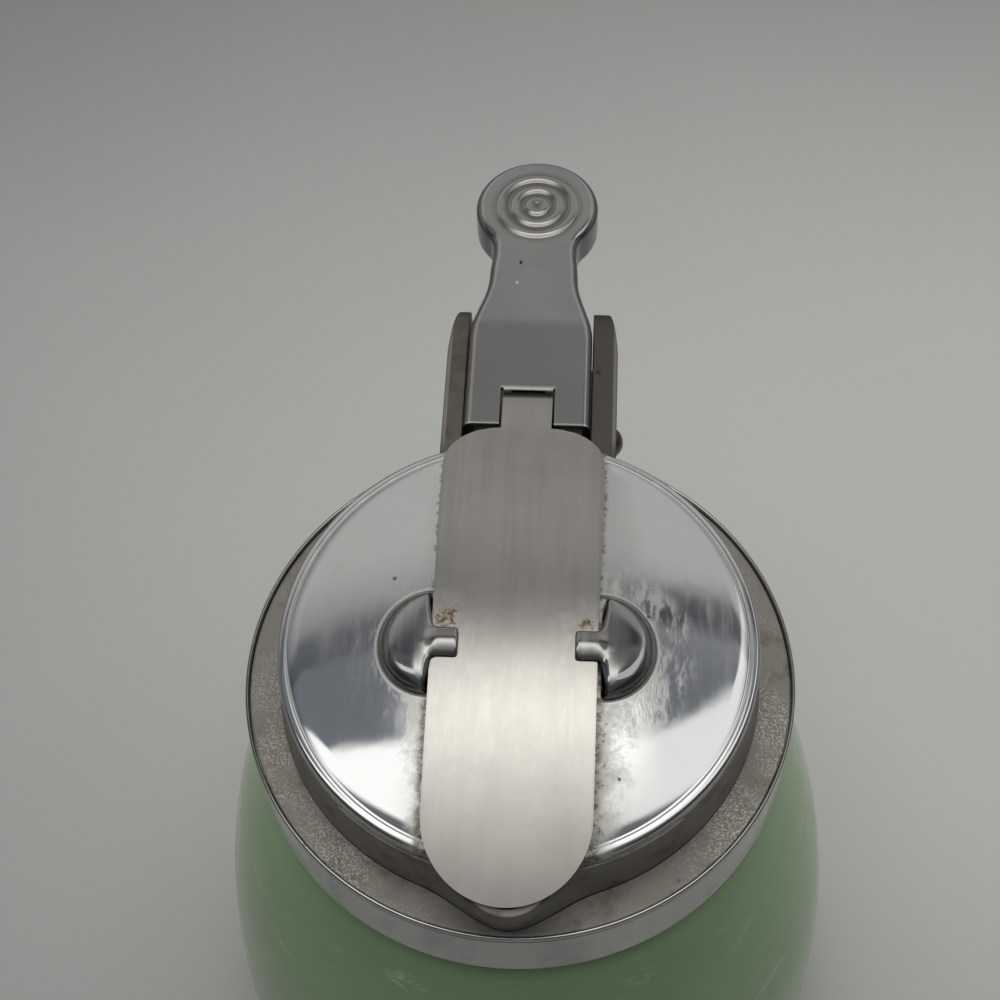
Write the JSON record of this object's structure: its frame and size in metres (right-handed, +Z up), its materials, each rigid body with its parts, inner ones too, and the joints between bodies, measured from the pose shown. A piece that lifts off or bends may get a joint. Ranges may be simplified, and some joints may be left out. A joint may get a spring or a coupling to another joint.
{
  "type": "syrup dispenser",
  "caption": "Flared opaque glass jar with a screwed metal top, a sliding pour gate over a domed lid, a thumb lever and a strap handle.",
  "frame": {"origin": "middle of the jar's foot, on the surface it stands on", "axes": "+Z up along the jar's axis, -Y towards the pouring nose, +Y towards the handle, +X to the right seen from the front"},
  "size_m": [0.096, 0.1319, 0.1261],
  "materials": {
    "green_glass": "opaque pale green, glossy",
    "gasket_rubber": "matt",
    "bright_plate": "polished, a little worn",
    "dull_casting": "dull and pitted plating on cast metal",
    "brushed_steel": "satin, brushed lengthwise",
    "plain_steel": "plain",
    "dull_plate": "satin plating"
  },
  "bodies": {
    "jar": {"jar": "green_glass"},
    "top": {"top_casting": "dull_casting", "dome_plate": "bright_plate", "neck_gasket": "gasket_rubber", "lever_pin": "plain_steel", "lever_spring": "plain_steel", "handle": "dull_plate", "handle_screws": "plain_steel"},
    "ring": {"screw_ring": "bright_plate"},
    "lever": {"thumb_lever": "brushed_steel"},
    "gate": {"gate": "brushed_steel"}
  },
  "joints": [
    {"name": "top_lift", "type": "slide", "parent": "jar", "child": "top", "axis": [0, 0, 1], "range_m": [0, 0.03]},
    {"name": "ring_turn", "type": "hinge", "parent": "top", "child": "ring", "pos_m": [0, 0, 0.104], "axis": [0, 0, 1], "range_deg": [0, 450]},
    {"name": "lever_pivot", "type": "hinge", "parent": "top", "child": "lever", "pos_m": [0, 0.0412, 0.105], "axis": [-1, 0, 0], "range_deg": [0, 26], "stiffness_Nm_per_rad": 0.05, "springref_deg": -22.92, "deforming": ["lever_spring"]},
    {"name": "gate_slide", "type": "hinge", "parent": "top", "child": "gate", "pos_m": [0, 0, 0.007], "axis": [-1, 0, 0], "range_deg": [0, 2.7]}
  ],
  "couplings": [
    {"joint": "gate_slide", "follows": "lever_pivot", "ratio": 0.1017}
  ]
}
